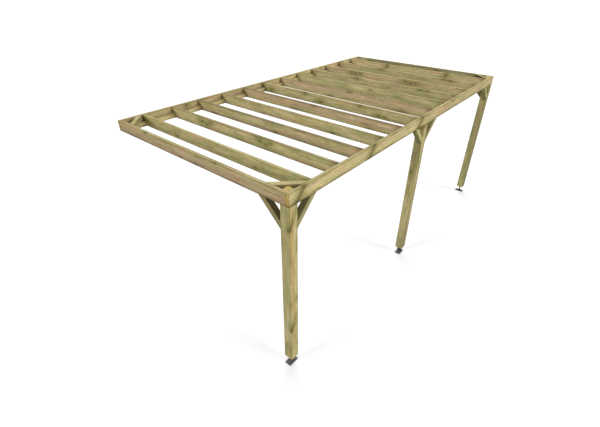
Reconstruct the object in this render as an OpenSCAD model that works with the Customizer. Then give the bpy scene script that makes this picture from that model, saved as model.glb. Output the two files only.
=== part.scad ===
// Wall-mounted timber pergola: a flat frame of beams and rafters that is bolted
// to a wall at the back and stands on a row of three posts at the front.
// X runs along the wall, Y points at the wall, Z is up.
// The origin is the centre of the wall plate's back face, on the wall.

/* [Overall size] */
// Length of the frame along the wall
length = 5940; // [4900:10:7200]
// Depth of the frame from the wall to the front face
depth = 3095; // [2400:5:3800]
// Height of the frame's top above the ground
height = 2510; // [2050:10:3000]

/* [Posts] */
// Width of a post's square section
post_w = 120; // [100:1:150]
// Gap between the ground and a post's lower end
post_gap = 120; // [60:1:150]

/* [Beams] */
// Depth of the beams, the wall plate and the rafters
beam_h = 145; // [115:1:180]
// Thickness of the beams and of the wall plate
beam_t = 45; // [35:1:56]

/* [Rafters] */
// Number of rafters
rafter_count = 12; // [6:1:16]
// Thickness of a rafter
rafter_t = 45; // [28:1:55]
// Gap between a corner brace's end and the first rafter
brace_gap = 1; // [1:1:60]

/* [Wall ledger] */
// Depth of the ledger that carries the rafters at the wall
ledger_h = 70; // [45:1:90]
// Width of the ledger, out from the wall plate
ledger_w = 70; // [45:1:90]
// Slack in a notch round the ledger or a post's head
notch_slack = 2; // [1:0.5:5]

/* [Braces] */
// Length of a brace along its longer edge
brace_l = 410; // [300:1:520]
// Width of a brace in the plane of its corner
brace_w = 70; // [45:1:84]
// Thickness of a brace across that plane
brace_t = 70; // [45:1:90]

/* [Post feet] */
// Length of a foot's ground plate
plate_l = 150; // [120:1:180]
// Width of a foot's ground plate
plate_w = 88; // [80:1:110]
// Thickness of the ground plate
plate_t = 8; // [5:1:12]
// Width of the blade that stands on the plate
blade_w = 80; // [50:1:88]
// Thickness of the blade
blade_t = 8; // [5:1:12]
// Length of the blade inside the post
blade_in = 90; // [60:1:140]
// Slack around the blade in the post's slot
slot_slack = 1; // [0.5:0.5:3]
// Diameter of the holes in the ground plate
hole_d = 12; // [8:1:14]
// Distance from a hole's centre to the plate's edges
hole_edge = 18; // [14:1:26]

/* [Edges] */
// Radius of the timbers' eased long edges
arris = 4; // [1:0.5:6]
// Radius of the ground plate's corners
plate_r = 6; // [2:1:12]

/* [Hidden] */
$fn = 32;
over = 1;
x_end = length / 2;
y_front = -depth;
z_top = beam_h / 2;
z_low = z_top - beam_h;
z_ground = z_top - height;
z_post = z_ground + post_gap;
brace_leg = brace_l / sqrt(2);
rafter_edge = beam_t + brace_leg + brace_gap;
rafter_pitch = (length - 2 * rafter_edge - rafter_t) / (rafter_count - 1);
ledger_y = -beam_t - ledger_w;

// Timber and steel colours
post_colour = [0.66, 0.60, 0.42];
beam_colour = [0.68, 0.62, 0.45];
rafter_colour = [0.62, 0.58, 0.40];
brace_colour = [0.60, 0.57, 0.36];
steel_colour = [0.24, 0.25, 0.26];

// ---- Shared shapes ----

// A rectangle with round corners
module eased(w, h, r) {
    translate([r, 0]) square([w - 2 * r, h]);
    translate([0, r]) square([w, h - 2 * r]);
    for (x = [r, w - r], y = [r, h - r])
        translate([x, y]) circle(r);
}

// Timbers with eased long edges that fill a box of the given size
module timber_x(size) {
    rotate([90, 0, 90]) linear_extrude(size.x) eased(size.y, size.z, arris);
}

module timber_y(size) {
    translate([0, size.y, 0]) rotate([90, 0, 0])
        linear_extrude(size.y) eased(size.x, size.z, arris);
}

module timber_z(size) {
    linear_extrude(size.z) eased(size.x, size.y, arris);
}

// A brace across the corner between +X and +Y, its ends mitred to sit on both
module brace() {
    color(brace_colour) intersection() {
        translate([brace_leg, 0, 0]) rotate([0, 0, 135]) translate([-brace_w, 0, 0])
            timber_x([brace_l + 2 * brace_w, brace_w, brace_t]);
        cube([brace_leg, brace_leg, brace_t]);
    }
}

// ---- Posts ----

// A post of the given height on its foot, its slot cut for the foot's blade
module post_blank(tall, blade_turn) {
    difference() {
        timber_z([post_w, post_w, tall]);
        translate([post_w / 2, post_w / 2, 0]) rotate([0, 0, blade_turn])
            translate([-blade_t / 2 - slot_slack, -blade_w / 2 - slot_slack, -over])
                cube([blade_t + 2 * slot_slack, blade_w + 2 * slot_slack,
                      blade_in + slot_slack + over]);
    }
}

// The notch that lets a beam into a post's outer face at its head
module beam_notch() {
    translate([-over, -over, z_low - z_post])
        cube([post_w + 2 * over, beam_t + over, beam_h + over]);
}

// A corner post, notched on both outer faces, so a square tenon is left
module corner_post(blade_turn) {
    color(post_colour) translate([-x_end, y_front, z_post]) difference() {
        post_blank(z_top - z_post, blade_turn);
        beam_notch();
        mirror([1, -1, 0]) beam_notch();
    }
}

module post_left() { corner_post(0); }

module post_right() { mirror([1, 0, 0]) corner_post(90); }

// The space that a corner post's head and its slack take out of what crosses it
module head_notch() {
    translate([-x_end, y_front, z_low - over])
        cube([post_w + notch_slack, post_w + notch_slack, beam_h + 2 * over]);
}

// The middle post, cut square under the front beam, whose halves meet on its head
module post_middle() {
    color(post_colour) translate([-post_w / 2, y_front, z_post])
        post_blank(z_low - z_post, 0);
}

// ---- Post feet ----

// A ground plate with four bolt holes and a blade that enters the post
module foot() {
    color(steel_colour) difference() {
        union() {
            translate([-plate_l / 2, -plate_w / 2, 0])
                linear_extrude(plate_t) eased(plate_l, plate_w, plate_r);
            translate([-blade_t / 2, -blade_w / 2, 0])
                cube([blade_t, blade_w, post_gap + blade_in]);
        }
        for (x = [-1, 1], y = [-1, 1])
            translate([x * (plate_l / 2 - hole_edge), y * (plate_w / 2 - hole_edge), -over])
                cylinder(h = plate_t + 2 * over, d = hole_d);
    }
}

module foot_left() { translate([-x_end + post_w / 2, y_front + post_w / 2, z_ground]) foot(); }

module foot_middle() { translate([0, y_front + post_w / 2, z_ground]) foot(); }

module foot_right() {
    translate([x_end - post_w / 2, y_front + post_w / 2, z_ground]) rotate([0, 0, 90]) foot();
}

// ---- Beams ----

// Half of the front beam, from the end to the middle post's centre
module front_beam_left() {
    color(beam_colour) translate([-x_end, y_front, z_low]) timber_x([x_end, beam_t, beam_h]);
}

module front_beam_right() { mirror([1, 0, 0]) front_beam_left(); }

// A side beam, from the back of the front beam to the wall plate
module side_beam_left() {
    color(beam_colour) translate([-x_end, y_front + beam_t, z_low])
        timber_y([beam_t, depth - 2 * beam_t, beam_h]);
}

module side_beam_right() { mirror([1, 0, 0]) side_beam_left(); }

// Half of the wall plate, flat against the wall
module wall_plate_left() {
    color(beam_colour) translate([-x_end, -beam_t, z_low]) timber_x([x_end, beam_t, beam_h]);
}

module wall_plate_right() { mirror([1, 0, 0]) wall_plate_left(); }

// Half of the ledger along the foot of the wall plate, between the side beams
module wall_ledger_left() {
    color(beam_colour) translate([-x_end + beam_t, ledger_y, z_low])
        timber_x([x_end - beam_t, ledger_w, ledger_h]);
}

module wall_ledger_right() { mirror([1, 0, 0]) wall_ledger_left(); }

// The space that the ledger and its slack take out of what crosses it
module ledger_notch() {
    translate([-x_end, ledger_y - notch_slack, z_low - over])
        cube([length, ledger_w + notch_slack + over, ledger_h + over]);
}

// ---- Rafters ----

// A rafter from the front beam to the wall plate, notched over the ledger
module rafter(i) {
    color(rafter_colour) difference() {
        translate([-x_end + rafter_edge + (i - 1) * rafter_pitch, y_front + beam_t, z_low])
            timber_y([rafter_t, depth - 2 * beam_t, beam_h]);
        ledger_notch();
    }
}

// ---- Braces ----

// A knee brace under a beam that runs towards +X, flush with its outer face
module knee_brace() { rotate([-90, 0, 0]) brace(); }

module knee_brace_left_front() { translate([-x_end + post_w, y_front, z_low]) knee_brace(); }

module knee_brace_left_side() {
    translate([-x_end, y_front + post_w, z_low]) mirror([1, -1, 0]) knee_brace();
}

module knee_brace_middle_right() { translate([post_w / 2, y_front, z_low]) knee_brace(); }

module knee_brace_middle_left() { mirror([1, 0, 0]) knee_brace_middle_right(); }

module knee_brace_right_front() { mirror([1, 0, 0]) knee_brace_left_front(); }

module knee_brace_right_side() { mirror([1, 0, 0]) knee_brace_left_side(); }

// A flat brace across a corner of the frame, flush with its top, and notched
// round the post's head where it reaches that
module corner_brace_front_left() {
    color(brace_colour) difference() {
        translate([-x_end + beam_t, y_front + beam_t, z_top - brace_t]) brace();
        head_notch();
    }
}

// At the wall, the brace is notched as the rafters are where it reaches the ledger
module corner_brace_wall_left() {
    color(brace_colour) difference() {
        translate([-x_end + beam_t, -beam_t, z_top - brace_t]) mirror([0, 1, 0]) brace();
        ledger_notch();
    }
}

module corner_brace_front_right() { mirror([1, 0, 0]) corner_brace_front_left(); }

module corner_brace_wall_right() { mirror([1, 0, 0]) corner_brace_wall_left(); }

post_left();
post_middle();
post_right();
foot_left();
foot_middle();
foot_right();
front_beam_left();
front_beam_right();
side_beam_left();
side_beam_right();
wall_plate_left();
wall_plate_right();
wall_ledger_left();
wall_ledger_right();
for (i = [1:rafter_count])
    rafter(i);
knee_brace_left_front();
knee_brace_left_side();
knee_brace_middle_left();
knee_brace_middle_right();
knee_brace_right_front();
knee_brace_right_side();
corner_brace_front_left();
corner_brace_front_right();
corner_brace_wall_left();
corner_brace_wall_right();
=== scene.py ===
import bpy
import bmesh
from math import copysign, cos, pi, radians, sin
from mathutils import Matrix, Vector
from random import Random


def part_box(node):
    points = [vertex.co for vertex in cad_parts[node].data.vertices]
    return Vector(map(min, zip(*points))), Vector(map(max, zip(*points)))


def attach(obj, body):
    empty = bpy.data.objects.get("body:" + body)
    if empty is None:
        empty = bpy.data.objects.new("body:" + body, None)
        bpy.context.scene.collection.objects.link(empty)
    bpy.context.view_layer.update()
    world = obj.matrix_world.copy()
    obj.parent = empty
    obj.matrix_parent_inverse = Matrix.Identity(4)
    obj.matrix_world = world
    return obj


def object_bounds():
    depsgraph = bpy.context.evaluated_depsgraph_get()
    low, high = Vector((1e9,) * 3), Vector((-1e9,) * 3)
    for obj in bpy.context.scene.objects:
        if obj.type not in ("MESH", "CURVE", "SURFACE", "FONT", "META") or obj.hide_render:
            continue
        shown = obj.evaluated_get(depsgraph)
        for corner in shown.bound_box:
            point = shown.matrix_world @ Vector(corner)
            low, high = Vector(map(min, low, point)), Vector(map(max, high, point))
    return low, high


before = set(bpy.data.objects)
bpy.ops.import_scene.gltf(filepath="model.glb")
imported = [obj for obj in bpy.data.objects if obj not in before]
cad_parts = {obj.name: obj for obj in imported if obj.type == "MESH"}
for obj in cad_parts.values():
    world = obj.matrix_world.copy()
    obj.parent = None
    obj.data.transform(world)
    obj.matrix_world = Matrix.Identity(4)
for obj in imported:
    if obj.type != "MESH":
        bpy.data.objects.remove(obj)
cad_low, cad_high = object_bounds()


# The camera stands off the near left corner, a little above the frame, and looks down
# along its length. Its place is taken from the end of the front beam at that corner.
def set_out(name, data):
    placed = bpy.data.objects.new(name, data)
    bpy.context.scene.collection.objects.link(placed)
    return placed


beam_low, beam_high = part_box("front_beam_left")
near_corner = Vector((beam_low.x, beam_low.y, beam_high.z))
stand_off = Vector((-2.1412, -1.9360, 1.6826))
heading = Matrix.Rotation(radians(-49.848), 4, "Z")
looking_down = Matrix.Rotation(radians(90 - 33.1135), 4, "X")
roll = Matrix.Rotation(radians(0.048), 4, "Z")
camera_data = bpy.data.cameras.new("camera")
camera_data.lens = 22.248
camera_data.clip_end = 400
camera = set_out("camera", camera_data)
camera.matrix_world = Matrix.Translation(near_corner + stand_off) @ heading @ looking_down @ roll
bpy.context.scene.camera = camera
bpy.context.scene.view_settings.view_transform = "Standard"


# A pale studio floor at ground level. It shows pale to the camera and sends little light
# back up, as a floor does when only a small part of it is lit.
floor_reach = 120
shown_grey = (0.90, 0.90, 0.90, 1)
shown_glow = 0.30
bounced_grey = (0.30, 0.30, 0.30, 1)
floor_mesh = bpy.data.meshes.new("studio_floor")
sheet = bmesh.new()
bmesh.ops.create_grid(sheet, x_segments=1, y_segments=1, size=floor_reach)
bmesh.ops.translate(sheet, verts=sheet.verts, vec=(0, 0, cad_low[2]))
sheet.to_mesh(floor_mesh)
sheet.free()
studio_floor = set_out("studio_floor", floor_mesh)
floor_paint = bpy.data.materials.new("pale_floor")
floor_paint.use_nodes = True
floor_nodes = floor_paint.node_tree.nodes
floor_nodes.clear()
shown = floor_nodes.new("ShaderNodeBsdfPrincipled")
shown.inputs["Base Color"].default_value = shown_grey
shown.inputs["Roughness"].default_value = 1.0
shown.inputs["Specular IOR Level"].default_value = 0.0
shown.inputs["Emission Color"].default_value = (1, 1, 1, 1)
shown.inputs["Emission Strength"].default_value = shown_glow
bounced = floor_nodes.new("ShaderNodeBsdfDiffuse")
bounced.inputs["Color"].default_value = bounced_grey
ray = floor_nodes.new("ShaderNodeLightPath")
either = floor_nodes.new("ShaderNodeMixShader")
floor_out = floor_nodes.new("ShaderNodeOutputMaterial")
floor_links = floor_paint.node_tree.links
floor_links.new(ray.outputs["Is Camera Ray"], either.inputs[0])
floor_links.new(bounced.outputs[0], either.inputs[1])
floor_links.new(shown.outputs[0], either.inputs[2])
floor_links.new(either.outputs[0], floor_out.inputs["Surface"])
floor_mesh.materials.append(floor_paint)


# Soft studio light: a broad light from the front, another from the left, a low weak one that
# fills the shade under the beams, and a wide one overhead. An even surround shows white but
# lights the frame only a little.
def soft_sun(name, towards, strength, width):
    data = bpy.data.lights.new(name, "SUN")
    data.energy = strength
    data.angle = radians(width)
    lamp = set_out(name, data)
    lamp.rotation_euler = Vector(towards).to_track_quat("Z", "Y").to_euler()


soft_sun("front_light", towards=(0.198, -0.920, 0.340), strength=2.45, width=30)
soft_sun("left_light", towards=(-0.885, 0.350, 0.306), strength=1.65, width=20)
soft_sun("fill_light", towards=(-0.950, -0.240, 0.150), strength=0.35, width=50)
soft_sun("top_light", towards=(0.45, 0.38, 0.81), strength=1.25, width=40)
lighting_level = 0.18
shown_level = 1.0
surround = bpy.data.worlds.new("surround")
surround.use_nodes = True
bpy.context.scene.world = surround
sky = surround.node_tree
pale = sky.nodes["Background"]
pale.inputs["Color"].default_value = (1, 1, 1, 1)
sky_ray = sky.nodes.new("ShaderNodeLightPath")
level = sky.nodes.new("ShaderNodeMapRange")
level.inputs["To Min"].default_value = lighting_level
level.inputs["To Max"].default_value = shown_level
sky.links.new(sky_ray.outputs["Is Camera Ray"], level.inputs["Value"])
sky.links.new(level.outputs[0], pale.inputs["Strength"])


# The front beam: two lengths of planed, pressure treated pine, butted over the middle post.
# Its wood shows growth rings round the log's pith, heartwood that the treatment leaves
# pink, green sapwood, and branches cut through as knots.
def new_group(name, sockets_in, sockets_out):
    tree = bpy.data.node_groups.new(name, "ShaderNodeTree")
    for label, kind, value in sockets_in:
        socket = tree.interface.new_socket(
            name=label, in_out="INPUT", socket_type="NodeSocket" + kind)
        socket.default_value = value
    for label, kind in sockets_out:
        tree.interface.new_socket(name=label, in_out="OUTPUT", socket_type="NodeSocket" + kind)
    return tree, tree.nodes.new("NodeGroupInput"), tree.nodes.new("NodeGroupOutput")


def fill(tree, node, values):
    for key, value in values:
        if isinstance(value, bpy.types.NodeSocket):
            tree.links.new(value, node.inputs[key])
        else:
            node.inputs[key].default_value = value


def sums(tree, operation, *values):
    node = tree.nodes.new("ShaderNodeMath")
    node.operation = operation
    fill(tree, node, enumerate(values))
    return node.outputs[0]


def vectors(tree, operation, *values):
    node = tree.nodes.new("ShaderNodeVectorMath")
    node.operation = operation
    fill(tree, node, enumerate(values))
    return node.outputs["Value" if operation in ("LENGTH", "DOT_PRODUCT") else "Vector"]


def parts(tree, vector):
    node = tree.nodes.new("ShaderNodeSeparateXYZ")
    tree.links.new(vector, node.inputs[0])
    return node.outputs


def fade(tree, value, low, high, first=0.0, last=1.0):
    # Goes smoothly from first to last while the value goes from low to high.
    node = tree.nodes.new("ShaderNodeMapRange")
    node.interpolation_type = "SMOOTHSTEP"
    fill(tree, node, (("Value", value), ("From Min", low), ("From Max", high),
                      ("To Min", first), ("To Max", last)))
    return node.outputs["Result"]


def mottle(tree, place, stretch, shift, detail=2.0, output="Fac"):
    # A soft cloudy pattern. The stretch says how many clouds a metre holds each way.
    moved = vectors(tree, "MULTIPLY_ADD", place, stretch, shift)
    node = tree.nodes.new("ShaderNodeTexNoise")
    fill(tree, node, (("Vector", moved), ("Scale", 1.0), ("Detail", detail),
                      ("Roughness", 0.55)))
    return node.outputs[output]


def tint(tree, share, first, second, way="MIX"):
    # The Mix node has a set of sockets for each kind of value, so its colours go by number.
    share_in, first_in, second_in = 0, 6, 7
    colour_out = 2
    node = tree.nodes.new("ShaderNodeMix")
    node.data_type = "RGBA"
    node.blend_type = way
    fill(tree, node, ((share_in, share), (first_in, first), (second_in, second)))
    return node.outputs[colour_out]


def shade(tree, wood, share, colour):
    return tint(tree, share, wood, colour, "MULTIPLY")


def knot_group(far_off):
    # A branch runs out of its root along its way, and is at its whole thickness 30 mm on.
    # Nearness is the distance from it in its own radii. The rings bulge round it, and a
    # halo of greener wood fades away from it.
    tree, given, made = new_group(
        "branch_knot",
        [("Place", "Vector", (0, 0, 0)), ("At", "Vector", (0, 0, 0)),
         ("Way", "Vector", (0, 0, 1)), ("Radius", "Float", 0.012),
         ("Nearness", "Float", far_off), ("Pull", "Float", 0.0), ("Halo", "Float", 0.0)],
        [("Nearness", "Float"), ("Pull", "Float"), ("Halo", "Float")])
    place, way, radius = given.outputs["Place"], given.outputs["Way"], given.outputs["Radius"]
    arm = vectors(tree, "SUBTRACT", place, given.outputs["At"])
    out = vectors(tree, "DOT_PRODUCT", arm, way)
    core = tree.nodes.new("ShaderNodeVectorMath")
    core.operation = "SCALE"
    fill(tree, core, (("Vector", way), ("Scale", out)))
    side = vectors(tree, "SUBTRACT", arm, core.outputs[0])
    grown = fade(tree, out, low=-0.01, high=0.03, first=0.001, last=1.0)

    ragged = mottle(tree, place, stretch=(22, 45, 45), shift=(3, 1, 2))
    ragged = fade(tree, ragged, low=0.2, high=0.8, first=0.84, last=1.18)
    size = sums(tree, "MULTIPLY", sums(tree, "MULTIPLY", radius, grown), ragged)
    near = sums(tree, "DIVIDE", vectors(tree, "LENGTH", side), size)

    drawn_out = (0.42, 1, 1)
    ring_narrowness, halo_narrowness = 0.45, 0.13
    bulge_height = 0.9
    drawn = vectors(tree, "LENGTH", vectors(tree, "MULTIPLY", side, drawn_out))
    square = sums(tree, "POWER", sums(tree, "DIVIDE", drawn, radius), 2.0)
    bulge = sums(tree, "EXPONENT", sums(tree, "MULTIPLY", square, -ring_narrowness))
    pull = sums(tree, "MULTIPLY", sums(tree, "MULTIPLY", bulge, radius), grown)
    halo = sums(tree, "EXPONENT", sums(tree, "MULTIPLY", square, -halo_narrowness))
    halo = sums(tree, "MULTIPLY", halo, grown)
    pull = sums(tree, "MULTIPLY_ADD", pull, bulge_height, given.outputs["Pull"])
    fill(tree, made, (("Nearness", sums(tree, "MINIMUM", near, given.outputs["Nearness"])),
                      ("Pull", pull),
                      ("Halo", sums(tree, "MAXIMUM", halo, given.outputs["Halo"]))))
    return tree


def pattern(tree, given, stretch, apart=(0, 0, 0), detail=2.0, output="Fac"):
    # Each timber has its own shift, and apart keeps one pattern from following another.
    shift = vectors(tree, "ADD", given.outputs["Shift"], apart)
    return mottle(tree, given.outputs["Place"], stretch, shift, detail, output)


def growth_rings(tree, given):
    # Rings stand round a pith that wanders along the timber, and pass round its branches.
    # Good and bad years make them wide and narrow. Late wood ends each year sharply.
    drift = 0.025
    wave_height = 0.012
    weather_change, weather_share = 0.31, 2.2
    wander = pattern(tree, given, stretch=(0.8, 0, 0), detail=1.0, output="Color")
    wander = vectors(tree, "MULTIPLY_ADD", wander, (0, 2 * drift, 2 * drift), (0, -drift, -drift))
    spoke = vectors(tree, "SUBTRACT", given.outputs["Place"], given.outputs["Pith"])
    spoke = vectors(tree, "MULTIPLY", vectors(tree, "ADD", spoke, wander), (0, 1, 1))
    wave = pattern(tree, given, stretch=(2.2, 16, 16))
    reach = sums(tree, "MULTIPLY_ADD", wave, wave_height, vectors(tree, "LENGTH", spoke))
    reach = sums(tree, "SUBTRACT", reach, given.outputs["Pull"])
    years = sums(tree, "DIVIDE", reach, given.outputs["Ring"])
    weather = tree.nodes.new("ShaderNodeTexNoise")
    weather.noise_dimensions = "1D"
    fill(tree, weather, (("W", sums(tree, "MULTIPLY", years, weather_change)),
                         ("Scale", 1.0), ("Detail", 1.0)))
    years = sums(tree, "MULTIPLY_ADD", weather.outputs[0], weather_share, years)
    year = sums(tree, "FRACT", years)
    late = sums(tree, "MULTIPLY", fade(tree, year, low=0.35, high=0.9),
                fade(tree, year, low=0.93, high=1.0, first=1.0, last=0.0))
    return wave, reach, late


def sap_and_heart(tree, given, reach, late):
    # Sapwood takes up the green treatment unevenly. Heartwood stays pink, or golden.
    sapwood, sapwood_late = (0.610, 0.520, 0.245, 1), (0.440, 0.345, 0.130, 1)
    green_sapwood, green_late = (0.455, 0.445, 0.180, 1), (0.290, 0.275, 0.085, 1)
    pink_heart, pink_late = (0.580, 0.440, 0.250, 1), (0.400, 0.275, 0.135, 1)
    gold_heart, gold_late = (0.600, 0.420, 0.155, 1), (0.380, 0.260, 0.080, 1)
    heart_edge, heart_unevenness = 0.016, 0.05
    late_share = 0.55
    broad = pattern(tree, given, stretch=(0.6, 9, 9), detail=1.0)
    heart = fade(tree, sums(tree, "MULTIPLY_ADD", broad, heart_unevenness, reach),
                 low=given.outputs["Heart"],
                 high=sums(tree, "ADD", given.outputs["Heart"], heart_edge),
                 first=1.0, last=0.0)
    soaked = pattern(tree, given, stretch=(3.0, 16, 16), apart=(5, 9, 2))
    soaked = sums(tree, "MULTIPLY", fade(tree, soaked, low=0.38, high=0.62),
                  given.outputs["Green"])
    gold = given.outputs["Gold"]
    early_wood = tint(tree, heart, tint(tree, soaked, sapwood, green_sapwood),
                      tint(tree, gold, pink_heart, gold_heart))
    late_wood = tint(tree, heart, tint(tree, soaked, sapwood_late, green_late),
                     tint(tree, gold, pink_late, gold_late))
    return tint(tree, sums(tree, "MULTIPLY", late, late_share), early_wood, late_wood)


def streaks_and_stains(tree, given, wood):
    # Blushed and pale patches, long streaks, small clouds, the treatment's stains and fibres.
    blushed, bleached = (0.640, 0.440, 0.230, 1), (0.700, 0.620, 0.340, 1)
    stained = (0.66, 0.61, 0.44, 1)
    stain_share = 0.65
    blush = pattern(tree, given, stretch=(2.0, 11, 11), apart=(3, 8, 6))
    blush = sums(tree, "MULTIPLY", fade(tree, blush, low=0.50, high=0.66),
                 given.outputs["Blush"])
    wood = tint(tree, blush, wood, blushed)
    pale = pattern(tree, given, stretch=(1.6, 13, 13), apart=(9, 1, 5))
    wood = tint(tree, fade(tree, pale, low=0.52, high=0.68, last=0.5), wood, bleached)
    streak = pattern(tree, given, stretch=(3.0, 48, 48), apart=(1, 4, 8))
    wood = shade(tree, wood, 1.0, fade(tree, streak, low=0.25, high=0.75, first=0.85, last=1.13))
    cloud = pattern(tree, given, stretch=(14, 40, 40), apart=(6, 5, 1), detail=4.0)
    wood = shade(tree, wood, 1.0, fade(tree, cloud, low=0.25, high=0.75, first=0.88, last=1.11))
    stain = pattern(tree, given, stretch=(3.2, 18, 18), apart=(7, 2, 3))
    stain = sums(tree, "MULTIPLY", fade(tree, stain, low=0.52, high=0.74), stain_share)
    wood = shade(tree, wood, stain, stained)
    fibre = pattern(tree, given, stretch=(8, 420, 420), detail=3.0)
    wood = shade(tree, wood, 1.0, fade(tree, fibre, low=0.2, high=0.8, first=0.88, last=1.10))
    return wood, streak, cloud, fibre


def drying_cracks(tree, given, wood):
    # Fine dark splits along the grain, where the surface has dried out.
    in_crack = (0.10, 0.075, 0.04, 1)
    crack_share = 0.75
    pattern_middle = 0.5
    line = pattern(tree, given, stretch=(0.9, 70, 70), apart=(2, 6, 4), detail=1.0)
    line = sums(tree, "ABSOLUTE", sums(tree, "SUBTRACT", line, pattern_middle))
    line = fade(tree, line, low=0.002, high=0.012, first=1.0, last=0.0)
    dried = pattern(tree, given, stretch=(0.8, 5, 5), apart=(4, 4, 9), detail=1.0)
    crack = sums(tree, "MULTIPLY", line, fade(tree, dried, low=0.55, high=0.66))
    wood = tint(tree, sums(tree, "MULTIPLY", crack, crack_share), wood, in_crack)
    return wood, crack


def branch_marks(tree, given, wood, streak):
    # A knot has rings of its own and a dark rim, and stands in a halo of greener wood.
    halo_green = (0.45, 0.50, 0.25, 1)
    knot_dark, knot_light = (0.155, 0.115, 0.042, 1), (0.240, 0.180, 0.070, 1)
    knot_rim = (0.080, 0.060, 0.024, 1)
    rings_in_knot = 26.0
    near = given.outputs["Nearness"]
    halo = sums(tree, "MULTIPLY", given.outputs["Halo"],
                fade(tree, streak, low=0.3, high=0.7, first=0.70, last=1.0))
    wood = shade(tree, wood, halo, halo_green)
    rings = sums(tree, "SINE", sums(tree, "MULTIPLY", near, rings_in_knot))
    knot_wood = tint(tree, fade(tree, rings, low=-1.0, high=1.0), knot_dark, knot_light)
    knot_wood = tint(tree, fade(tree, near, low=0.60, high=1.05, last=0.75), knot_wood, knot_rim)
    inside = fade(tree, near, low=0.92, high=1.10, first=0.95, last=0.0)
    return tint(tree, inside, wood, knot_wood)


def distances_in(tree, given):
    # How far a spot lies in from the ends, the broad faces, and the lower and upper faces.
    off_middle = vectors(tree, "ABSOLUTE", given.outputs["Place"])
    return parts(tree, vectors(tree, "SUBTRACT", given.outputs["Half"], off_middle))


def darker_edges(tree, wood, inset, wave, cloud):
    # The long edges are darker, and so is an uneven band beside them on the broad faces.
    edge_darkening, band_darkening = (0.66, 0.61, 0.46, 1), (0.72, 0.66, 0.48, 1)
    edge_unevenness, band_unevenness = 0.010, 0.014
    band_share = 0.8
    along, across, up = inset
    least = sums(tree, "MINIMUM", across, up)
    most = sums(tree, "MAXIMUM", across, up)
    arris = sums(tree, "MAXIMUM", least, sums(tree, "MINIMUM", most, along))
    arris = sums(tree, "MULTIPLY_ADD", wave, edge_unevenness, arris)
    wood = shade(tree, wood, fade(tree, arris, low=0.004, high=0.012, first=1.0, last=0.0),
                 edge_darkening)
    band = sums(tree, "MULTIPLY_ADD", cloud, band_unevenness, up)
    band = fade(tree, band, low=0.012, high=0.026, first=1.0, last=0.0)
    on_broad_face = fade(tree, across, low=0.001, high=0.003, first=1.0, last=0.0)
    band = sums(tree, "MULTIPLY", band, on_broad_face)
    return shade(tree, wood, sums(tree, "MULTIPLY", band, band_share), band_darkening)


def soaked_ends_and_painted_shade(tree, given, wood, inset, wave, cloud):
    # Toward each end the wood goes dark, partly as soaked treatment and partly as painted shade
    # where it meets other timbers. The lower part is painted darker as shade, or lighter as
    # painted light, and the whole may be painted paler toward its last end as painted light. The
    # sawn end faces are yellower.
    soak_and_shade_colour, sawn_yellow = (0.50, 0.43, 0.32, 1), (1.02, 0.86, 0.50, 1)
    soak_and_shade_unevenness, lower_shade_unevenness = 0.08, 0.3
    along = inset["X"]
    share = parts(tree, vectors(tree, "DIVIDE", given.outputs["Place"], given.outputs["Half"]))
    end_soak_and_shade = parts(tree, given.outputs["Ends"])
    soak_and_shade = sums(tree, "MULTIPLY_ADD", wave, soak_and_shade_unevenness, along)
    soak_and_shade = fade(tree, soak_and_shade, low=0.03, high=0.19, first=1.0, last=0.0)
    this_end = fade(tree, share["X"], low=-0.1, high=0.1, first=end_soak_and_shade["X"], last=end_soak_and_shade["Y"])
    wood = shade(tree, wood, sums(tree, "MULTIPLY", soak_and_shade, this_end), soak_and_shade_colour)
    # Painted shade in the lower part, or painted light if its amount is below 0, and painted
    # light toward the last end.
    lower_shade_mask = sums(tree, "MULTIPLY_ADD", cloud, lower_shade_unevenness, share["Z"])
    lower_shade_mask = fade(tree, lower_shade_mask, low=-0.75, high=-0.15, first=1.0, last=0.0)
    lower_shade_factor = sums(tree, "SUBTRACT", 1.0, sums(tree, "MULTIPLY", lower_shade_mask, given.outputs["Under"]))
    painted_end_light = sums(tree, "MULTIPLY_ADD", share["X"], given.outputs["Rise"], 1.0)
    wood = shade(tree, wood, 1.0, sums(tree, "MULTIPLY", lower_shade_factor, painted_end_light))
    sawn_end = fade(tree, along, low=0.0006, high=0.002, first=1.0, last=0.0)
    return shade(tree, wood, sawn_end, sawn_yellow)


def levels_and_face_shade(tree, given, wood):
    # Each timber has its own level, in part painted shade, and painted light and shade make its
    # faces lighter or darker by the way they face.
    darkest_face_shade = -0.4
    face_shade = vectors(tree, "DOT_PRODUCT", given.outputs["Facing"], given.outputs["Lean"])
    tone_and_shade = sums(tree, "ADD", sums(tree, "MAXIMUM", face_shade, darkest_face_shade), 1.0)
    return shade(tree, wood, 1.0, sums(tree, "MULTIPLY", tone_and_shade, given.outputs["Depth"]))


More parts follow.
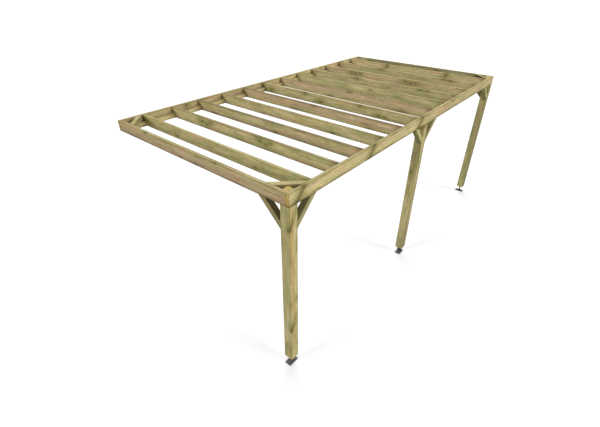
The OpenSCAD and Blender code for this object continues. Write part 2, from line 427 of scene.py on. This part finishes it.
def grain_group(far_off):
    tree, given, made = new_group(
        "treated_pine",
        [("Place", "Vector", (0, 0, 0)),   # along, across and up from the timber's middle
         ("Half", "Vector", (1, 1, 1)),    # half its size in the same three ways
         ("Pith", "Vector", (0, 0, 0)),    # where the middle of the log ran
         ("Shift", "Vector", (0, 0, 0)),   # keeps its patterns unlike the others'
         ("Ring", "Float", 0.005),         # growth in a year
         ("Heart", "Float", 0.05),         # how far from the pith the heartwood goes
         ("Green", "Float", 0.5),          # treatment taken up by the sapwood
         ("Blush", "Float", 0.5),          # pink patches
         ("Gold", "Float", 0.0),           # heartwood golden instead of pink
         ("Depth", "Float", 1.0),          # level of the whole timber, in part painted shade
         ("Ends", "Vector", (0, 0, 0)),    # how dark the first and the last end are: soaked treatment and painted shade
         ("Under", "Float", 0.0),          # painted shade in the lower part, or painted light if below 0
         ("Rise", "Float", 0.0),           # painted light toward the last end
         ("Facing", "Vector", (0, 0, 1)),  # the way in which the surface faces
         ("Lean", "Vector", (0, 0, 0)),    # painted light and shade: faces this way lighter, faces the other way darker
         ("Nearness", "Float", far_off),   # these three come from its branches
         ("Pull", "Float", 0.0),
         ("Halo", "Float", 0.0)],
        [("Color", "Color"), ("Roughness", "Float"), ("Height", "Float")])
    wave, reach, late = growth_rings(tree, given)
    wood = sap_and_heart(tree, given, reach, late)
    wood, streak, cloud, fibre = streaks_and_stains(tree, given, wood)
    wood, crack = drying_cracks(tree, given, wood)
    wood = branch_marks(tree, given, wood, streak)
    inset = distances_in(tree, given)
    wood = darker_edges(tree, wood, inset, wave, cloud)
    wood = soaked_ends_and_painted_shade(tree, given, wood, inset, wave, cloud)
    wood = levels_and_face_shade(tree, given, wood)

    late_gloss = -0.08
    late_height, fibre_height, crack_height, knot_height = 0.35, 0.8, -1.5, 0.3
    shine = fade(tree, fibre, low=0.2, high=0.8, first=0.74, last=0.58)
    shine = sums(tree, "MULTIPLY_ADD", late, late_gloss, shine)
    in_knot = fade(tree, given.outputs["Nearness"], low=0.9, high=1.1, first=1.0, last=0.0)
    relief = sums(tree, "MULTIPLY", fibre, fibre_height)
    relief = sums(tree, "MULTIPLY_ADD", late, late_height, relief)
    relief = sums(tree, "MULTIPLY_ADD", crack, crack_height, relief)
    relief = sums(tree, "MULTIPLY_ADD", in_knot, knot_height, relief)
    fill(tree, made, (("Color", wood), ("Roughness", shine), ("Height", relief)))
    return tree


no_knot_near = 9.0
pine = grain_group(no_knot_near)
knot = knot_group(no_knot_near)


def chance_branches(pith, within, chance):
    # Branches that grow out from near the pith at all turns, half a metre to a metre apart.
    first_gap, gap = (0.05, 0.4), (0.45, 1.0)
    slant, thickness = (-0.15, 0.35), (0.006, 0.015)
    pith_share = 0.6
    branches = []
    spot = -within + chance.uniform(*first_gap)
    while spot < within:
        turn = chance.uniform(0, 2 * pi)
        way = (chance.uniform(*slant), cos(turn), sin(turn))
        root = (spot, pith[1] * pith_share, pith[2])
        branches.append((root, way, chance.uniform(*thickness)))
        spot += chance.uniform(*gap)
    return branches


def chosen_branches(half, knots, spikes):
    # Knots come nearly straight out of a face, and spikes are branches cut lengthwise. Each
    # has its spot along the timber, its place across and up from the middle, and its radius.
    knot_root, spike_root = 0.04, 0.035
    slant, tilt = 0.12, 0.1
    branches = []
    for spot, y, z, radius in knots:
        sideways = abs(y) / half[1] > abs(z) / half[2]
        way = Vector((slant, copysign(1, y), tilt) if sideways else (slant, tilt, copysign(1, z)))
        branches.append((Vector((spot - half[0], y, z)) - knot_root * way, way, radius))
    for spot, y, z, width, way in spikes:
        way = Vector(way).normalized()
        branches.append((Vector((spot - half[0], y, z)) - spike_root * way, way, width))
    return branches


def hand_on(tree, branch, following):
    for value in ("Nearness", "Pull", "Halo"):
        tree.links.new(branch.outputs[value], following.inputs[value])


def set_branches(tree, place, grain, branches):
    # Each branch takes in what the ones before it have done to the wood.
    last = None
    for at, way, radius in branches:
        branch = tree.nodes.new("ShaderNodeGroup")
        branch.node_tree = knot
        fill(tree, branch, (("Place", place), ("At", at), ("Way", Vector(way).normalized()),
                            ("Radius", radius)))
        if last:
            hand_on(tree, last, branch)
        last = branch
    if last:
        hand_on(tree, last, grain)


def timber_place(node, along, across, toward):
    # The timber's middle, its own three axes, half its size along them, and how far from
    # its middle branches may start. Toward is given for a brace, which is square. A mitred
    # brace's box is wider than itself, so its own middle lies off the box's middle, and its
    # reach goes past its hidden ends.
    brace_reach, brace_within = 2.0, 0.2
    low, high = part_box(node)
    centre = (low + high) / 2
    along, across = Vector(along).normalized(), Vector(across).normalized()
    axes = Matrix((along, across, along.cross(across)))
    half = [abs(sum(abs(a) * s for a, s in zip(row, high - low))) / 2 for row in axes]
    if not toward:
        return centre, axes, half, half[0]
    brace_half = min(half)
    centre += brace_half * Vector(toward).normalized()
    return centre, axes, [brace_reach, brace_half, brace_half], brace_within


def sawn_timber(node, along, across, seed, heart=0.04, green=0.6, blush=0.5, gold=0.0,
                depth=1.0, end_soak_and_shade=(0, 0), under=0.0, rise=0.0, face_shade=(0, 0, 0),
                pith=None, knots=(), spikes=(), toward=None):
    # A timber's length runs along, and its thickness across.
    pith_aside, pith_up, ring_width = (0.3, 1.6), (-0.7, 0.7), (0.0042, 0.0065)
    shift_steps = (3.7, 1.3, 5.1)
    centre, axes, half, within = timber_place(node, along, across, toward)
    chance = Random(seed)
    pith = pith or (0, chance.choice((-1, 1)) * chance.uniform(*pith_aside) * half[1],
                    chance.uniform(*pith_up) * half[2])
    ring = chance.uniform(*ring_width)

    material = bpy.data.materials.new("pine_" + node)
    material.use_nodes = True
    tree = material.node_tree
    shader = tree.nodes["Principled BSDF"]
    where = tree.nodes.new("ShaderNodeTexCoord")
    turned = tree.nodes.new("ShaderNodeMapping")
    turned.vector_type = "TEXTURE"
    turned.inputs["Location"].default_value = centre
    turned.inputs["Rotation"].default_value = axes.transposed().to_euler()
    tree.links.new(where.outputs["Object"], turned.inputs["Vector"])
    place = turned.outputs[0]
    grain = tree.nodes.new("ShaderNodeGroup")
    grain.node_tree = pine
    fill(tree, grain, (("Place", place), ("Half", half), ("Pith", pith),
                       ("Shift", [seed * step for step in shift_steps]), ("Ring", ring),
                       ("Heart", heart), ("Green", green), ("Blush", blush), ("Gold", gold),
                       ("Depth", depth), ("Ends", (*end_soak_and_shade, 0)), ("Under", under),
                       ("Rise", rise), ("Facing", where.outputs["Normal"]), ("Lean", face_shade)))
    branches = chosen_branches(half, knots, spikes)
    if not branches:
        branches = chance_branches(pith, within, chance)
    set_branches(tree, place, grain, branches)

    bump = tree.nodes.new("ShaderNodeBump")
    bump.inputs["Strength"].default_value = 0.5
    bump.inputs["Distance"].default_value = 0.0012
    tree.links.new(grain.outputs["Height"], bump.inputs["Height"])
    tree.links.new(grain.outputs["Color"], shader.inputs["Base Color"])
    tree.links.new(grain.outputs["Roughness"], shader.inputs["Roughness"])
    tree.links.new(bump.outputs[0], shader.inputs["Normal"])
    shader.inputs["Specular IOR Level"].default_value = 0.35
    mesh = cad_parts[node].data
    mesh.materials.clear()
    mesh.materials.append(material)


to_right, to_left = (1, 0, 0), (-1, 0, 0)
to_back, to_front = (0, 1, 0), (0, -1, 0)
beam_face = (beam_high.y - beam_low.y) / 2
beam_edge = (beam_high.z - beam_low.z) / 2
up_the_front = (0.62, 0, 0.78)
# The front beams' tops and ends are painted lighter or darker by the way they face, and their
# lower parts darker, as painted light and shade.
sawn_timber("front_beam_left", along=to_right, across=to_back, seed=1,
            green=0.6, depth=1.13, under=0.45, face_shade=(0.12, 0, -0.19),
            spikes=((0.10, -beam_face, -beam_edge, 0.022, up_the_front),
                    (1.39, -beam_face, -beam_edge, 0.021, up_the_front),
                    (2.68, -beam_face, -beam_edge, 0.025, up_the_front)))
sawn_timber("front_beam_right", along=to_right, across=to_back, seed=2,
            blush=0.7, depth=0.96, under=0.3, face_shade=(0, 0, 0.07),
            knots=((0.9, -beam_face, 0.06, 0.008), (2.3, -beam_face, -0.05, 0.008)))


# The side beams: one length of planed pine each, from the front beam back to the wall
# plate, screwed to both. The right one is greener, and the left one has more heartwood.
along_lower_edge = (0.93, 0.36, 0)
along_upper_edge = (0.96, 0.28, 0)
# The left beam's lower part is painted darker as painted shade.
sawn_timber("side_beam_left", along=to_back, across=to_left, seed=3,
            heart=0.09, green=0.4, blush=0.9, depth=0.86, under=0.35, face_shade=(0, 0, 0.05),
            spikes=((1.36, beam_face, -0.066, 0.010, along_lower_edge),
                    (2.74, beam_face, -0.066, 0.009, along_lower_edge),
                    (1.00, beam_face, 0.068, 0.007, along_upper_edge),
                    (2.35, beam_face, 0.068, 0.008, along_upper_edge)))
# The right beam's level is in part painted shade, its inner face is painted darker as shade and
# its top lighter as painted light.
sawn_timber("side_beam_right", along=to_back, across=to_left, seed=4,
            green=1.0, gold=1.0, depth=0.66, face_shade=(0.2, 0, 0.55))


# The wall plate lies flat against the wall, and the square ledger screwed along its foot
# carries the rafters. Both are planed pine in two lengths that meet at the middle.
# The levels of the plates and ledgers are in part painted shade, and their tops are painted
# lighter or darker as painted light or shade.
for node, seed, tone_and_shade, top in (("wall_plate_left", 10, 0.72, 0.2),
                              ("wall_plate_right", 11, 0.86, 0.1),
                              ("wall_ledger_left", 12, 0.98, -0.36),
                              ("wall_ledger_right", 13, 1.15, -0.3)):
    sawn_timber(node, along=to_right, across=to_back, seed=seed,
                green=0.35, blush=0.8, depth=tone_and_shade, face_shade=(0, 0, top))


# Twelve rafters of planed pine, set on edge. Each is notched over the ledger at the wall
# and screwed through the front beam. No two are alike: some are green sapwood, some pink
# heartwood, and the knots lie singly, in rows along an edge, or in clusters.
into_the_top = (0.52, -0.20, -0.78)
# Each rafter's top is painted lighter or darker as painted light or shade, and the lower part of
# some is painted darker as shade, or lighter on the first as painted light.
rafter_woods = {
    1: dict(green=0.85, depth=1.04, under=-0.75, top=-0.02,
            knots=((0.75, -0.035, 0.007), (2.20, -0.035, 0.007))),
    2: dict(green=0.75, blush=0.6, depth=0.96, under=0.2, top=-0.22,
            knots=((0.98, 0.03, 0.013), (1.06, 0.00, 0.014), (1.15, 0.02, 0.017),
                   (2.10, 0.03, 0.012), (2.19, -0.01, 0.014), (2.29, 0.02, 0.017))),
    3: dict(green=0.7, blush=0.8, depth=0.91, under=0.22, top=-0.40,
            knots=((1.35, -0.055, 0.010), (2.62, -0.05, 0.010))),
    4: dict(green=0.9, blush=0.3, depth=1.00, top=-0.17,
            knots=((0.74, -0.055, 0.010), (2.05, -0.06, 0.009))),
    5: dict(green=0.35, blush=0.9, heart=0.08, depth=0.92, top=-0.40,
            knots=((0.47, -0.066, 0.014), (1.83, -0.066, 0.015), (1.44, 0.07, 0.009))),
    6: dict(green=0.6, blush=0.6, depth=0.90, top=0.20,
            knots=((0.93, 0.055, 0.016), (2.00, 0.060, 0.015), (0.50, -0.03, 0.010),
                   (0.60, -0.03, 0.016), (1.68, -0.03, 0.017), (2.78, -0.02, 0.017))),
    7: dict(green=0.35, blush=0.9, heart=0.08, depth=0.98, top=-0.25,
            knots=((0.47, -0.062, 0.014), (1.83, -0.062, 0.015), (1.44, 0.07, 0.009))),
    8: dict(green=1.0, blush=0.1, depth=0.90, top=0.12,
            knots=((1.32, 0.03, 0.008),)),
    9: dict(green=0.6, blush=0.5, heart=0.06, depth=0.82, top=0.42,
            knots=((0.50, 0.066, 0.014), (0.62, 0.066, 0.013), (1.90, 0.066, 0.014))),
    10: dict(green=0.6, blush=0.7, depth=0.89, top=0.42,
             knots=((0.93, 0.03, 0.016), (1.03, 0.02, 0.019), (1.13, 0.03, 0.018),
                    (2.13, 0.03, 0.016), (2.24, 0.02, 0.020), (2.33, 0.03, 0.018))),
    11: dict(green=0.6, blush=0.5, heart=0.06, depth=0.79, top=0.35,
             knots=((0.47, 0.066, 0.014), (0.60, 0.066, 0.013), (1.93, 0.066, 0.015))),
    12: dict(green=0.2, blush=1.0, depth=0.93, top=0.3,
             spikes=((0.72, beam_face, beam_edge, 0.019, into_the_top),
                     (2.03, beam_face, beam_edge, 0.019, into_the_top)))}
seeds_before = 20
for number, wood in rafter_woods.items():
    # A rafter's knots have a spot along it, a height off its middle, and a radius.
    knots = [(spot, beam_face, height, radius)
             for spot, height, radius in wood.pop("knots", ())]
    # Each rafter's ends are painted darker, partly as soaked treatment and partly as painted
    # shade where it meets the front beam and the wall plate.
    face_shade = (0, 0, wood.pop("top"))
    sawn_timber(f"rafter_{number}", along=to_back, across=to_left, seed=seeds_before + number,
                end_soak_and_shade=(0.9, 0.35), face_shade=face_shade, knots=knots, **wood)


# The posts: square pine, the outer two notched at the head to take both beams and the middle one
# cut square under the front beam. The left one has a golden heart and two branches cut
# lengthwise. The other two are painted paler at the head than at the foot as painted light, and
# the middle one's head is also darkened as painted shade. All three have faces painted lighter or
# darker, and the other two a side darker, as painted light and shade.
post_low, post_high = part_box("post_left")
post_face = (post_high.x - post_low.x) / 2
near_edge = post_face - 0.002
upright = Vector((0, 0, 1))
up_the_edge = (0.90, 0.13, -0.42)
sawn_timber("post_left", along=upright, across=to_back, seed=41,
            heart=0.050, green=0.7, blush=0.2, gold=1.0, depth=0.96,
            face_shade=(0.05, 0, 0.26), pith=(0, -0.068, 0.016),
            knots=((1.020, -post_face, -0.045, 0.011),
                   (1.985, -0.036, post_face, 0.009),
                   (0.560, -0.043, post_face, 0.010)),
            spikes=((1.985, -post_face, near_edge, 0.014, up_the_edge),
                    (0.530, -post_face, near_edge, 0.016, up_the_edge)))
sawn_timber("post_middle", along=upright, across=to_back, seed=42,
            heart=0.03, green=0.8, blush=0.3, depth=1.02, end_soak_and_shade=(0, 0.8), under=0.35,
            rise=0.32, face_shade=(-0.10, 0.22, 0))
sawn_timber("post_right", along=upright, across=to_back, seed=43,
            heart=0.03, green=0.8, blush=0.3, depth=1.00, under=0.40,
            rise=0.26, face_shade=(-0.40, 0.46, 0))


# Knee braces under the beams: short lengths of pine, mitred at both ends and screwed to post and
# beam. They have taken up more of the green treatment than the long timbers. Their levels are in
# part painted shade, and on two of them the slanting inner face is painted paler as painted light
# and the upper face, toward post and beam, darker as painted shade.
for node, side, seed, tone_and_shade, slant_shade in (("left_front", 1, 50, 0.65, 0.18),
                                      ("middle_right", 1, 51, 0.90, 0.0),
                                      ("middle_left", -1, 52, 1.08, 0.0),
                                      ("right_front", -1, 53, 1.05, 0.0)):
    sawn_timber("knee_brace_" + node, along=(side, 0, 1), across=to_back, seed=seed,
                green=1.3, blush=0.1, depth=tone_and_shade,
                face_shade=(side * slant_shade, 0, -slant_shade), toward=(-side, 0, 1))
for node, seed, tone_and_shade, slant_shade in (("left_side", 55, 0.58, 0.42),
                                ("right_side", 56, 0.48, 0.0)):
    sawn_timber("knee_brace_" + node, along=(0, 1, 1), across=to_right, seed=seed,
                green=1.3, blush=0.1, depth=tone_and_shade,
                face_shade=(0, slant_shade, -slant_shade), toward=(0, -1, 1))


# Flat braces across the frame's four corners: short lengths of pine laid level with the beams'
# tops, mitred to them and screwed. Their upright faces are darkened as painted shade, and their
# tops lightened back as painted light.
for node, x, y, seed, tone_and_shade, top in (("front_left", 1, 1, 60, 0.46, 1.12),
                                    ("front_right", -1, 1, 61, 0.14, 6.0),
                                    ("wall_left", 1, -1, 62, 0.58, 0.74),
                                    ("wall_right", -1, -1, 63, 0.58, 0.85)):
    sawn_timber("corner_brace_" + node, along=(x, -y, 0), across=(x, y, 0), seed=seed,
                depth=tone_and_shade, face_shade=(0, 0, top), toward=(-x, -y, 0))


# The feet: a ground plate welded under an upright blade, in dark grey coated steel. The
# plate's top has gone dull and dusty, its cut edges and the blade stay dark.
coat_dark, coat_light = (0.046, 0.048, 0.050, 1), (0.062, 0.064, 0.066, 1)
dust = (0.150, 0.155, 0.158, 1)
speckles_per_metre, scuffs_per_metre = 420, 38
steel = bpy.data.materials.new("coated_steel")
steel.use_nodes = True
coat = steel.node_tree
coated = coat.nodes["Principled BSDF"]
coated.inputs["Metallic"].default_value = 0.0
coated.inputs["Specular IOR Level"].default_value = 0.5
where = coat.nodes.new("ShaderNodeTexCoord")
speckle = mottle(coat, where.outputs["Object"],
                 stretch=[speckles_per_metre] * 3, shift=(0, 0, 0), detail=3.0)
scuff = mottle(coat, where.outputs["Object"],
               stretch=[scuffs_per_metre] * 3, shift=(3, 5, 1), detail=3.0)
upward = fade(coat, parts(coat, where.outputs["Normal"])["Z"], low=0.6, high=0.95)
patchy = fade(coat, scuff, low=0.2, high=0.6, first=0.6, last=1.0)
dusty = sums(coat, "MULTIPLY", upward, patchy)
grey = tint(coat, fade(coat, speckle, low=0.3, high=0.7), coat_dark, coat_light)
grey = tint(coat, dusty, grey, dust)
coat.links.new(grey, coated.inputs["Base Color"])
dullness = fade(coat, dusty, low=0.0, high=1.0, first=0.42, last=0.72)
coat.links.new(dullness, coated.inputs["Roughness"])
orange_peel = coat.nodes.new("ShaderNodeBump")
orange_peel.inputs["Strength"].default_value = 0.3
orange_peel.inputs["Distance"].default_value = 0.0004
coat.links.new(speckle, orange_peel.inputs["Height"])
coat.links.new(orange_peel.outputs[0], coated.inputs["Normal"])
for node in ("foot_left", "foot_middle", "foot_right"):
    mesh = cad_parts[node].data
    mesh.materials.clear()
    mesh.materials.append(steel)


# A fillet of weld runs along each side of a blade's foot, where it meets the ground plate.
# The bead is rippled, as the welder laid it, and is coated with the rest. The right foot
# is turned a quarter, and its welds with it.
def lay_weld(name, foot, turned):
    bead_length, bead_radius, bead_sides = 0.078, 0.0038, 10
    ripples, pinched = 31, 0.82
    above_ground, beside_middle = 0.0085, 0.0045
    low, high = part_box(foot)
    place = Matrix.Translation(((low.x + high.x) / 2, (low.y + high.y) / 2,
                                low.z + above_ground))
    spun = Matrix.Rotation(pi / 2 if turned else 0, 4, "Z")
    laid = Matrix.Rotation(pi / 2, 4, "X")
    bead = bmesh.new()
    for side in (-1, 1):
        before = len(bead.verts)
        bmesh.ops.create_cone(bead, cap_ends=True, segments=bead_sides,
                              radius1=bead_radius, radius2=bead_radius, depth=bead_length)
        long_edges = [edge for edge in bead.edges if edge.calc_length() > bead_length * 0.9]
        bmesh.ops.subdivide_edges(bead, edges=long_edges, cuts=ripples - 1)
        bead.verts.ensure_lookup_table()
        new_verts = bead.verts[before:]
        hollows = [vert for vert in new_verts
                   if round((vert.co.z / bead_length + 0.5) * ripples) % 2]
        bmesh.ops.scale(bead, verts=hollows, vec=(pinched, pinched, 1))
        aside = Matrix.Translation((side * beside_middle, 0, 0))
        bmesh.ops.transform(bead, verts=new_verts, matrix=place @ spun @ aside @ laid)
    bmesh.ops.recalc_face_normals(bead, faces=bead.faces)
    mesh = bpy.data.meshes.new(name)
    bead.to_mesh(mesh)
    bead.free()
    mesh.polygons.foreach_set("use_smooth", [True] * len(mesh.polygons))
    mesh.materials.append(steel)
    piece = set_out(name, mesh)
    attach(piece, "root")


lay_weld("weld_left", "foot_left", turned=False)
lay_weld("weld_middle", "foot_middle", turned=False)
lay_weld("weld_right", "foot_right", turned=True)


# Countersunk timber screws with a bronze coating hold the joints. Each has a low domed head
# with a star drive, pulled down flush with the wood.
bronze_dark, bronze_light = (0.230, 0.175, 0.085, 1), (0.360, 0.290, 0.160, 1)
wear_per_metre = 700
bronze = bpy.data.materials.new("bronze_coating")
bronze.use_nodes = True
dull = bronze.node_tree
dulled = dull.nodes["Principled BSDF"]
dulled.inputs["Metallic"].default_value = 0.7
where = dull.nodes.new("ShaderNodeTexCoord")
worn = mottle(dull, where.outputs["Object"], stretch=[wear_per_metre] * 3, shift=(2, 2, 2))
bronzed = tint(dull, fade(dull, worn, low=0.35, high=0.7), bronze_dark, bronze_light)
dull.links.new(bronzed, dulled.inputs["Base Color"])
polish = fade(dull, worn, low=0.3, high=0.7, first=0.62, last=0.45)
dull.links.new(polish, dulled.inputs["Roughness"])


def screw_heads(name, spots, outward, width=0.011, metal=bronze, star=True):
    corners, star_points, star_depth = 18, 6, 0.68
    rim_share, crown_share = 0.12, 0.14
    rim_height, rim_rise, crown_rise = 0.0018, 0.0004, 0.0001
    drive_depth, sunk = 0.0005, 0.0015
    turn = Vector(outward).normalized().to_track_quat("Z", "Y").to_matrix().to_4x4()
    sink = Matrix.Translation((0, 0, -sunk))
    shape = bmesh.new()
    for spot in spots:
        before = len(shape.verts)
        bmesh.ops.create_circle(shape, cap_ends=True, segments=corners, radius=width / 2)
        shape.faces.ensure_lookup_table()
        raised = bmesh.ops.extrude_face_region(shape, geom=[shape.faces[-1]])["geom"]
        lid = [part for part in raised if isinstance(part, bmesh.types.BMFace)]
        bmesh.ops.translate(shape, verts=lid[0].verts, vec=(0, 0, rim_height))
        bmesh.ops.inset_region(shape, faces=lid, thickness=width * rim_share, depth=rim_rise)
        bmesh.ops.inset_region(shape, faces=lid, thickness=width * crown_share, depth=crown_rise)
        if star:
            every = corners // star_points
            notches = [vert for step, vert in enumerate(lid[0].verts) if step % every == 1]
            about_middle = Matrix.Translation(-lid[0].calc_center_median())
            bmesh.ops.scale(shape, verts=notches, vec=(star_depth, star_depth, 1),
                            space=about_middle)
            drive = bmesh.ops.extrude_discrete_faces(shape, faces=lid)["faces"]
            bmesh.ops.translate(shape, verts=drive[0].verts, vec=(0, 0, -drive_depth))
        shape.verts.ensure_lookup_table()
        bmesh.ops.transform(shape, verts=shape.verts[before:],
                            matrix=Matrix.Translation(spot) @ turn @ sink)
    bmesh.ops.recalc_face_normals(shape, faces=shape.faces)
    mesh = bpy.data.meshes.new(name)
    shape.to_mesh(mesh)
    shape.free()
    mesh.materials.append(metal)
    piece = set_out(name, mesh)
    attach(piece, "root")


# Two go through the front beam into each rafter, one into the rafter's side over the ledger,
# and two through the ledger before each rafter but the first.
front = beam_low.y
mid = (beam_low.z + beam_high.z) / 2
beam_row = 0.045
notch_inset, notch_rise = 0.055, 0.02
ledger_pair = ((0.33, 0.050), (0.14, 0.022))
ledger_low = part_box("wall_ledger_left")[0]
for number in rafter_woods:
    low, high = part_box(f"rafter_{number}")
    x = (low.x + high.x) / 2
    screw_heads(f"front_screws_{number}", [
        Vector((x, front, mid + rise)) for rise in (beam_row, -beam_row)], to_front)
    screw_heads(f"notch_screw_{number}", [
        Vector((low.x, high.y - notch_inset, mid + notch_rise))], to_left)
    if number > 1:
        screw_heads(f"ledger_screws_{number}", [
            Vector((x - aside, ledger_low.y, ledger_low.z + rise))
            for aside, rise in ledger_pair], to_front)

# Four go through each end of the front beam, and two hold each side beam at the wall.
side_row, side_inset = 0.03, 0.06
wall_inset = 0.045
for side, sign in (("left", -1), ("right", 1)):
    low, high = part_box("side_beam_" + side)
    x = (low.x + high.x) / 2
    inner_face = x - sign * (high.x - low.x) / 2
    screw_heads(f"front_screws_{side}_end", [
        Vector((x - inward, front, mid + rise)) for inward, rise in (
            (0, beam_row), (0, -beam_row),
            (sign * side_inset, side_row), (sign * side_inset, -side_row))], to_front)
    screw_heads(f"wall_end_screws_{side}", [
        Vector((inner_face, high.y - wall_inset, mid + rise))
        for rise in (beam_row, -beam_row)], (-sign, 0, 0))

# Two hold each knee brace, in its slanting inner face, and four each corner brace.
toward_ends = (-0.72, 0.72)
brace_row = 0.017
for node, away in (("left_front", to_right), ("middle_right", to_right),
                   ("middle_left", to_left), ("right_front", to_left),
                   ("left_side", to_back), ("right_side", to_back)):
    low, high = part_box("knee_brace_" + node)
    centre = (low + high) / 2
    away = Vector(away)
    rise = upright * (high.z - low.z) / 2
    run = away * abs((high - low).dot(away)) / 2
    screw_heads("knee_screws_" + node, [
        centre + (run + rise) * share for share in toward_ends], away - upright)
for node, x, y in (("front_left", 1, 1), ("front_right", -1, 1),
                   ("wall_left", 1, -1), ("wall_right", -1, -1)):
    low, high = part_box("corner_brace_" + node)
    centre = (low + high) / 2
    run = Vector((x * (high.x - low.x) / 2, -y * (high.y - low.y) / 2, 0))
    screw_heads("corner_screws_" + node, [
        centre + run * share + upright * lift
        for share in toward_ends for lift in (-brace_row, brace_row)], (x, y, 0))

# Two slant up through the middle post's head into the beams above it.
post_row, post_drop = 0.035, 0.04
low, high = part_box("post_middle")
x = (low.x + high.x) / 2
screw_heads("post_screws_middle", [
    Vector((x + aside, front, high.z - post_drop)) for aside in (-post_row, post_row)], to_front)


# Two steel pins go through each post and the blade inside it, and hold the post to its
# foot. Their coated ends sit flush in the post's sides, one above the other.
pin_width, pin_aside = 0.010, 0.018
lower_pin, upper_pin = 0.035, 0.070
for node, way in (("left", to_right), ("middle", to_right), ("right", to_back)):
    low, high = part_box("post_" + node)
    way = Vector(way)
    foot_of_post = Vector(((low.x + high.x) / 2, (low.y + high.y) / 2, low.z))
    along = Vector((way.y, way.x, 0)) * pin_aside
    reach = (high - low).dot(way) / 2
    for face, sign in (("near", -1), ("far", 1)):
        face_middle = foot_of_post + way * sign * reach
        screw_heads(f"pin_ends_{node}_{face}", [
            face_middle + along * sign + upright * lower_pin,
            face_middle - along * sign + upright * upper_pin],
            way * sign, pin_width, steel, star=False)
